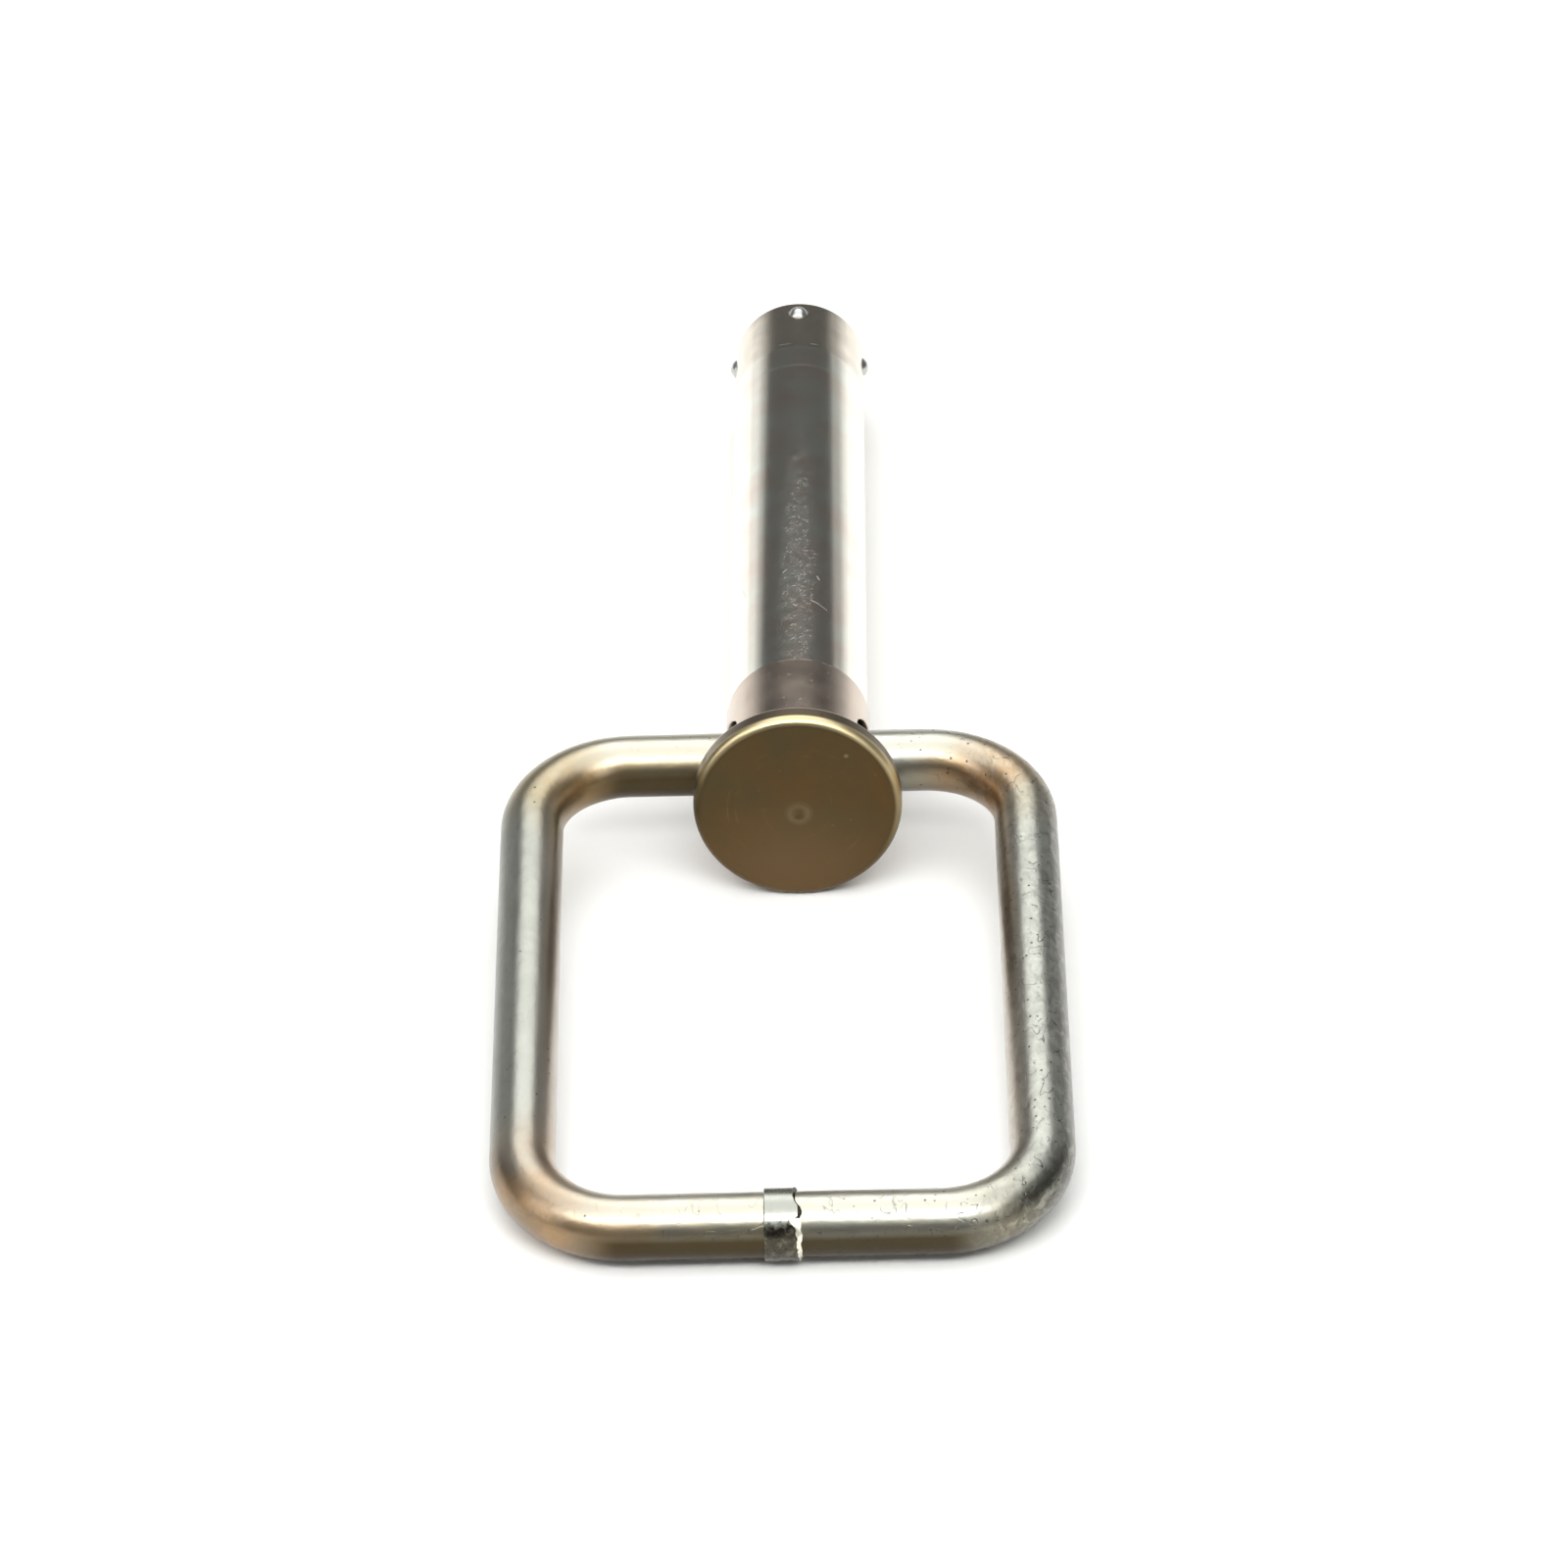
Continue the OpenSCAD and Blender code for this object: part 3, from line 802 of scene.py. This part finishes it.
def ball_finish(colours):
    """Hardened ball: a soft bright gleam, with rubbed patches and a few hair scratches."""
    material, tree = new_material("Polished ball steel")
    point, _, unrolled = pin_surface(tree)
    cloud = add(tree, "TexNoise", {"Vector": point, "Scale": 1 / 1.2, "Detail": 3.0})
    colour = paint(tree, shade(colours.ball, 0.8), (cloud, colours.ball))
    marks = scratches(tree, unrolled, (5, 0.1, 2.0, 0.66), (-40, 0.1, 1.5, 0.68))
    gloss = add(tree, "Math", (marks, 0.12, 0.3), **TIMES_PLUS)
    return dress(material, colour, gloss, marks, 0.3, 0.004, invert=True)


def wire_finish(colours):
    """Drawn spring wire: mid grey, with a fine drawn grain and a trace of oil."""
    material, tree = new_material("Oiled spring wire")
    point = own_point(tree, Matrix())
    oil = add(tree, "TexNoise", {"Vector": point, "Scale": 1 / 0.8, "Detail": 3.0})
    grain = add(tree, "TexNoise", {"Vector": point, "Scale": 1 / 0.12, "Detail": 1.0})
    colour = paint(tree, shade(colours.wire, 0.7), (oil, colours.wire))
    gloss = add(tree, "MapRange", (oil, 0.3, 0.7, 0.22, 0.38))
    return dress(material, colour, gloss, grain, 0.3, 0.004)


def paper_finish(stage):
    """Pale studio paper that turns white far from the object, so that it has no edge in view."""
    material, tree = new_material("Pale studio floor")
    path = add(tree, "LightPath", (), None)
    seen = strongest(tree, [path[f"Is {ray} Ray"] for ray in ("Camera", "Glossy", "Transmission")])
    paper = paint(tree, stage.floor, (seen, shade(stage.floor, stage.floor_gain)))
    paper = add(tree, "BsdfDiffuse", {"Color": paper})
    glow = add(tree, "Emission", {"Color": (1, 1, 1), "Strength": 1.0})
    where = add(tree, "TexCoord", (), "Object")
    far = add(tree, "VectorMath", (where,), "Value", operation="LENGTH")
    share = add(tree, "MapRange", (far, 0.2, 0.8), **SMOOTH)
    # In the metal the turned-up edge fades out, lower on the right
    axes = add(tree, "SeparateXYZ", (where,), None)
    right = add(tree, "Math", (axes["X"], 0.0), operation="MAXIMUM")
    rise = add(tree, "Math", (right, 0.16, axes["Z"]), **TIMES_PLUS)
    fade = add(tree, "MapRange", (rise, 0.18, 0.41, 1.0, 0.0))
    for part in (strongest(tree, [fade, path["Is Camera Ray"]]), seen):
        share = add(tree, "Math", (share, part), **TIMES)
    add(tree, "OutputMaterial", {"Surface": add(tree, "MixShader", (share, paper, glow))}, None)
    return material


class DRAWBAR_OT_pin_body(bpy.types.Operator):
    """Turns the pin and cuts its cross-hole and ball pockets"""

    bl_idname = "drawbar.pin_body"
    bl_label = "Pin body"

    def execute(self, context):
        pin = context.scene.drawbar_pin
        detent = context.scene.drawbar_detent
        # The nub is a low ring round a shallow dimple, as shares of its radius and height
        nub = ((0, 0.6), (0.3, 0.5), (0.46, -0.3), (0.66, -1), (0.86, -0.5), (1, 0))
        outline = [(pin.nub_r * out, pin.nub_h * down) for out, down in nub]
        outline += [(pin.head_r, 0), (pin.head_r, pin.head_t), (pin.collar_r, pin.head_t)]
        outline += [(pin.collar_r, pin.collar_end - pin.collar_bevel), (pin.shank_r, pin.collar_end)]
        outline += [(pin.shank_r, pin.tip_start - pin.tip_bevel), (pin.tip_r, pin.tip_start)]
        chamfer_at, face_r = pin.end - pin.end_chamfer, pin.tip_r - pin.end_chamfer
        outline += [(pin.tip_r, chamfer_at), (face_r, pin.end), (0, pin.end)]
        bm = bmesh.new()
        spin_profile(bm, outline, pin.facets)
        face = [vert for vert in bm.verts if abs(vert.co.z) < 2 * pin.nub_h]
        raised = [vert for vert in face if vert.co.xy.length < 1.1 * pin.nub_r]
        bmesh.ops.translate(bm, verts=raised, vec=pin.nub_off)
        for radius, height, size, segments in (
            (pin.head_r, 0, pin.head_edge, 10),
            (pin.head_r, pin.head_t, pin.head_back_edge, 3),
            (pin.collar_r, pin.head_t, pin.collar_root, 3),
            (pin.tip_r, chamfer_at, pin.end_edge, 3),
            (face_r, pin.end, pin.end_edge, 3),
        ):
            round_ring(bm, radius, height, size, segments)

        # Each cutter starts inside the pin and reaches past its skin, with its mouth draped on the skin
        cutter = bmesh.new()
        hole_sides, pocket_sides = 96, 64

        def cut(profile, steps, at, turn, skin_r, low, high):
            """Adds a turned cutter at a place along the pin, draped on a radius between two heights."""
            part = bmesh.new()
            spin_profile(part, profile, steps)
            drape([vert for vert in part.verts if low < vert.co.z < high], skin_r)
            join(cutter, part, side_place(at, turn))

        mouth, mouth_r = pin.collar_r + pin.hole_chamfer, pin.hole_r + 2 * pin.hole_chamfer
        past = mouth + 3 * MM
        hole = [(pin.hole_r, 0), (pin.hole_r, pin.collar_r - pin.hole_chamfer)]
        hole += [(mouth_r, mouth), (mouth_r, past), (0, past)]
        for turn in (0, 180):
            cut(hole, hole_sides, pin.hole_at, turn, pin.collar_r, pin.hole_r, mouth + 1 * MM)
        bmesh.ops.remove_doubles(cutter, verts=cutter.verts, dist=NEAR / 10)
        lip_low, lip_out = pin.tip_r - detent.lip_t, detent.lip_r + 2 * detent.lip_break
        past = pin.tip_r + 1 * MM
        pocket = [(0, detent.pocket_floor), (detent.pocket_r, detent.pocket_floor)]
        pocket += [(detent.pocket_r, lip_low), (detent.lip_r, lip_low)]
        pocket += [(detent.lip_r, pin.tip_r - detent.lip_break)]
        pocket += [(lip_out, pin.tip_r + detent.lip_break), (lip_out, past), (0, past)]
        for turn in DETENT_TURNS.values():
            low, high = lip_low + NEAR, pin.tip_r + 0.5 * MM
            cut(pocket, pocket_sides, detent.ball_at, turn, pin.tip_r, low, high)
        bmesh.ops.recalc_face_normals(cutter, faces=cutter.faces)
        bm = cut_mesh(bm, cutter)
        ends = (pin.head_t + NEAR, pin.collar_end - NEAR, pin.tip_start - NEAR)
        for face in bm.faces:
            face.material_index = sum(face.calc_center_median().z >= end for end in ends)
        colours = context.scene.drawbar_colours
        finishes = [finish(colours) for finish in (head_finish, collar_finish, shank_finish, tip_finish)]
        piece = new_piece("pin_turned_body", bm, pin_place(), "pin", finishes)
        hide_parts("pin_body")
        return {"FINISHED"}


class DRAWBAR_OT_handle(bpy.types.Operator):
    """Sweeps the bar round its loop and closes it with the weld"""

    bl_idname = "drawbar.handle"
    bl_label = "Loop handle"

    def execute(self, context):
        loop = context.scene.drawbar_handle
        half_w, half_len = loop.width / 2, loop.length / 2
        bend_x, bend_y = half_w - loop.bend_r, half_len - loop.bend_r
        weld_half = loop.weld_len / 2
        quarter, bend_steps = math.pi / 2, 28
        bm = bmesh.new()

        def extend(edges, run):
            """Extrudes the open ring along a straight and returns the new ring."""
            made = bmesh.ops.extrude_edge_only(bm, edges=edges)["geom"]
            verts = of_kind(made, bmesh.types.BMVert)
            bmesh.ops.translate(bm, verts=verts, vec=run)
            new = set(verts)
            return [edge for edge in of_kind(made, bmesh.types.BMEdge) if new.issuperset(edge.verts)]

        start = Matrix.Translation((weld_half, -half_len, 0)) @ Matrix.Rotation(quarter, 4, "Y")
        ring = open_circle(bm, loop.facets, loop.bar_r, start)
        for run, x, y in (
            ((bend_x - weld_half, 0, 0), bend_x, -bend_y),
            ((0, 2 * bend_y, 0), bend_x, bend_y),
            ((-2 * bend_x, 0, 0), -bend_x, bend_y),
            ((0, -2 * bend_y, 0), -bend_x, -bend_y),
        ):
            ring = spin_ring(bm, extend(ring, run), (x, y, 0), 0, quarter, bend_steps)
        ring = extend(ring, (bend_x - weld_half, 0, 0))

        # The weld is a row of rings set point by point; a turn is 90 on top of the bar and 180 at its front
        def turn_of(spot):
            """The turn of a point about the front bar, in degrees."""
            return math.degrees(math.atan2(spot.z, spot.y + half_len)) % 360

        def ramp(value, low, high):
            """A smooth step from 0 at low to 1 at high."""
            share = min(max((value - low) / (high - low), 0), 1)
            return share * share * (3 - 2 * share)

        def wander(turn, scale, seed):
            """How an edge strays on its way round the bar."""
            angle = math.radians(turn)
            return noise.noise((math.cos(angle) * scale, math.sin(angle) * scale, seed))

        def flash(turn):
            """Where weld metal fills the crack, painted bright as a highlight: 1 on the front, from above its
            middle to the floor.
            """
            starts, ends = (122, 130), (252, 282)
            return ramp(turn, *starts) * (1 - ramp(turn, *ends))

        def lean(turn):
            """How far the crack leans to the left on top of the bar."""
            return -0.9 * MM * (1 - ramp(turn, 84, 116)) * ramp(turn, 20, 70)

        def edge_at(turn):
            """Where the ragged right edge of the band lies."""
            slant = 1.5 * MM * (1 - ramp(turn, 130, 150)) + 0.35 * MM * (1 - ramp(turn, 150, 215))
            ragged = 0.34 * MM * wander(turn, 5, 3.1)
            return lean(turn) + weld_half - loop.crack_w - slant * ramp(turn, 126, 130) + ragged

        def right_edge(turn):
            """Where the crack's other, torn edge lies."""
            return lean(turn) + weld_half - MM * (0.15 + 0.25 * wander(turn, 7, 8.3))

        def lump(turn, x):
            """How far the trimmed band falls short of its full radius."""
            rough = 0.5 + noise.noise((turn / 14, x / MM * 0.9, 7.7))
            return MM * (0.012 + 0.11 * rough * ramp(turn, 132, 150) * (1 - ramp(turn, 235, 262)))

        def fill(low, high, turn):
            """A radius that is low in the open crack and high where weld metal fills it."""
            return low + (high - low) * flash(turn)

        left, bead, rows = -weld_half, 0.16 * MM, 12
        floor_r = loop.bar_r - loop.crack_d

        def band(share):
            """One ring of the band's skin, at a share of its width."""
            return (
                lambda turn: left + bead + share * (edge_at(turn) - 0.1 * MM - left - bead),
                lambda turn: loop.weld_r - lump(turn, left + share * loop.weld_len),
            )

        rings = (
            (lambda turn: left + 0.04 * MM, lambda turn: loop.weld_r - 0.14 * MM),
            (lambda turn: left + bead, lambda turn: loop.weld_r - lump(turn, left)),
            *(band(row / rows) for row in range(1, rows + 1)),
            (edge_at, lambda turn: fill(loop.weld_r - 0.37 * MM, loop.weld_r - 0.12 * MM, turn)),
            (lambda turn: edge_at(turn) + bead, lambda turn: fill(floor_r, loop.weld_r - 0.22 * MM, turn)),
            (
                lambda turn: 0.4 * edge_at(turn) + 0.6 * right_edge(turn),
                lambda turn: fill(floor_r, loop.bar_r + 0.22 * MM, turn),
            ),
            (right_edge, lambda turn: fill(loop.bar_r - 0.08 * MM, loop.bar_r + 0.02 * MM, turn)),
            (lambda turn: weld_half, lambda turn: loop.bar_r),
        )
        for x_at, radius_at in rings:
            ring = extend(ring, (0, 0, 0))
            for vert in {v for edge in ring for v in edge.verts}:
                turn = turn_of(vert.co)
                reach, angle = radius_at(turn), math.radians(turn)
                vert.co = (x_at(turn), reach * math.cos(angle) - half_len, reach * math.sin(angle))
        for face in bm.faces:
            middle = face.calc_center_median()
            turn = turn_of(middle)
            if middle.y > 0 or abs(middle.x) > weld_half or middle.x > right_edge(turn):
                continue
            in_band = middle.x < edge_at(turn) - 0.06 * MM
            face.material_index = 1 if in_band else (2 if flash(turn) > 0.5 else 3)
        bmesh.ops.remove_doubles(bm, verts=bm.verts, dist=NEAR / 5)
        bmesh.ops.recalc_face_normals(bm, faces=bm.faces)
        colours = context.scene.drawbar_colours
        finishes = [finish(colours) for finish in (handle_finish, weld_finish, flash_finish, crack_finish)]
        piece = new_piece("loop_handle", bm, loop_place(), "handle", finishes)
        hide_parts("handle")
        return {"FINISHED"}


class DRAWBAR_OT_balls(bpy.types.Operator):
    """Finishes the detent balls"""

    bl_idname = "drawbar.balls"
    bl_label = "Detent balls"

    def execute(self, context):
        finish = ball_finish(context.scene.drawbar_colours)
        for side in DETENT_TURNS:
            frame["nodes"][f"detent_ball_{side}"].material_slots[0].material = finish
        return {"FINISHED"}


class DRAWBAR_OT_springs(bpy.types.Operator):
    """Winds the springs behind the detent balls"""

    bl_idname = "drawbar.springs"
    bl_label = "Detent springs"

    def execute(self, context):
        detent = context.scene.drawbar_detent
        finish = wire_finish(context.scene.drawbar_colours)
        free_rise = detent.coil_high - detent.coil_low - 2 * detent.closed_rise
        stretches = ((1, detent.closed_rise), (detent.turns - 2, free_rise), (1, detent.closed_rise))
        first = Matrix.Translation((detent.coil_r, 0, detent.coil_low)) @ Matrix.Rotation(math.pi / 2, 4, "X")
        wire_sides, turn_steps = 12, 36
        for side, turn in DETENT_TURNS.items():
            bm = bmesh.new()
            ring = open_circle(bm, wire_sides, detent.wire_r, first)
            for turns, rise in stretches:
                steps = turn_steps * turns
                ring = spin_ring(bm, ring, (0, 0, 0), rise / steps, 2 * math.pi * turns, steps)
            bmesh.ops.holes_fill(bm, edges=[edge for edge in bm.edges if edge.is_boundary], sides=0)
            bmesh.ops.recalc_face_normals(bm, faces=bm.faces)
            place = pin_place() @ side_place(detent.ball_at, turn)
            piece = new_piece(f"coiled_spring_{side}", bm, place, "pin", [finish])
            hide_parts(f"detent_spring_{side}")
            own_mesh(piece)
        return {"FINISHED"}


class DRAWBAR_OT_stage(bpy.types.Operator):
    """Sets the floor, the light and the camera"""

    bl_idname = "drawbar.stage"
    bl_label = "Stage"

    def execute(self, context):
        scene = context.scene
        stage = scene.drawbar_stage
        bm = bmesh.new()
        bmesh.ops.create_grid(bm, x_segments=1, y_segments=1, size=stage.floor_size / 2)
        for vert in bm.verts:
            vert.co.y = min(vert.co.y, stage.sweep_y)
        back = [edge for edge in bm.edges if all(vert.co.y == stage.sweep_y for vert in edge.verts)]
        raised = of_kind(bmesh.ops.extrude_edge_only(bm, edges=back)["geom"], bmesh.types.BMVert)
        bmesh.ops.translate(bm, verts=raised, vec=(0, 0, stage.sweep_h))
        bend_share, bend_steps = 0.75, 16
        round_edges(bm, back, bend_share * stage.sweep_h, bend_steps)
        for face in bm.faces:
            face.smooth = True
        mesh = bpy.data.meshes.new("floor")
        bm.to_mesh(mesh)
        bm.free()
        mesh.materials.append(paper_finish(stage))
        floor = bpy.data.objects.new("floor", mesh)
        scene.collection.objects.link(floor)

        down = Vector((0, 0, -1))
        target = Vector((0, -0.05, 0.02))
        panels = (
            ("key_panel", 1.7, 0.34, stage.key_power, (0.0, -0.72, 0.99), None),
            ("top_panel", 1.5, 0.9, stage.top_power, (0.0, -0.02, 1.0), down),
            ("back_panel", 1.1, 0.78, stage.back_power, (0.0, 0.82, 1.0), down),
            ("left_panel", 0.6, 0.95, stage.left_power, (-1.05, -0.47, 0.52), None),
            ("right_panel", 0.6, 0.6, stage.right_power, (0.8, -1.0, 0.56), None),
            ("left_wing", 0.8, 0.6, stage.wing_power, (-1.23, 1.03, 0.55), None),
            ("right_wing", 0.8, 0.6, stage.wing_power, (1.23, 1.03, 0.55), None),
        )
        for name, width, depth, watts, place, aim in panels:
            light = bpy.data.lights.new(name, "AREA")
            light.shape = "RECTANGLE"
            light.size = width
            light.size_y = depth
            light.energy = watts
            panel = bpy.data.objects.new(name, light)
            panel.location = place
            panel.rotation_euler = (aim or target - Vector(place)).to_track_quat("-Z", "Y").to_euler()
            panel.visible_camera = False
            scene.collection.objects.link(panel)

        world = bpy.data.worlds.new("room")
        scene.world = world
        world.use_nodes = True
        tree = world.node_tree
        tree.nodes.clear()
        seen = add(tree, "LightPath", (), "Is Camera Ray")
        level = add(tree, "MapRange", (seen, 0.0, 1.0, stage.room, 1.0))
        room = add(tree, "Background", {"Color": (1, 1, 1), "Strength": level})
        add(tree, "OutputWorld", {"Surface": room}, None)

        camera = bpy.data.objects.new("camera", bpy.data.cameras.new("camera"))
        camera.data.lens = stage.lens
        camera.data.sensor_width = 36.0
        camera.data.clip_start = 0.05
        camera.location = stage.camera_at
        camera.rotation_euler = stage.camera_turn
        scene.collection.objects.link(camera)
        scene.camera = camera
        scene.view_settings.view_transform = "Standard"
        return {"FINISHED"}


class DRAWBAR_PT_panel(bpy.types.Panel):
    """Lists the pieces"""

    bl_idname = "DRAWBAR_PT_panel"
    bl_label = "Drawbar pin"
    bl_space_type = "VIEW_3D"
    bl_region_type = "UI"
    bl_category = "Drawbar pin"

    def draw(self, context):
        for operator in OPERATORS:
            self.layout.operator(operator.bl_idname)


GROUPS = {
    "drawbar_pin": PinSizes,
    "drawbar_handle": HandleSizes,
    "drawbar_detent": DetentSizes,
    "drawbar_colours": FinishColours,
    "drawbar_stage": StageSettings,
}
OPERATORS = (
    DRAWBAR_OT_pin_body,
    DRAWBAR_OT_handle,
    DRAWBAR_OT_balls,
    DRAWBAR_OT_springs,
    DRAWBAR_OT_stage,
)
CLASSES = (*GROUPS.values(), *OPERATORS, DRAWBAR_PT_panel)


def register():
    for cls in CLASSES:
        bpy.utils.register_class(cls)
    for name, group in GROUPS.items():
        setattr(bpy.types.Scene, name, PointerProperty(type=group))


def unregister():
    for name in GROUPS:
        delattr(bpy.types.Scene, name)
    for cls in reversed(CLASSES):
        bpy.utils.unregister_class(cls)


def main():
    register()
    bpy.ops.drawbar.pin_body()
    bpy.ops.drawbar.handle()
    bpy.ops.drawbar.balls()
    bpy.ops.drawbar.springs()
    bpy.ops.drawbar.stage()


if __name__ == "__main__":
    main()
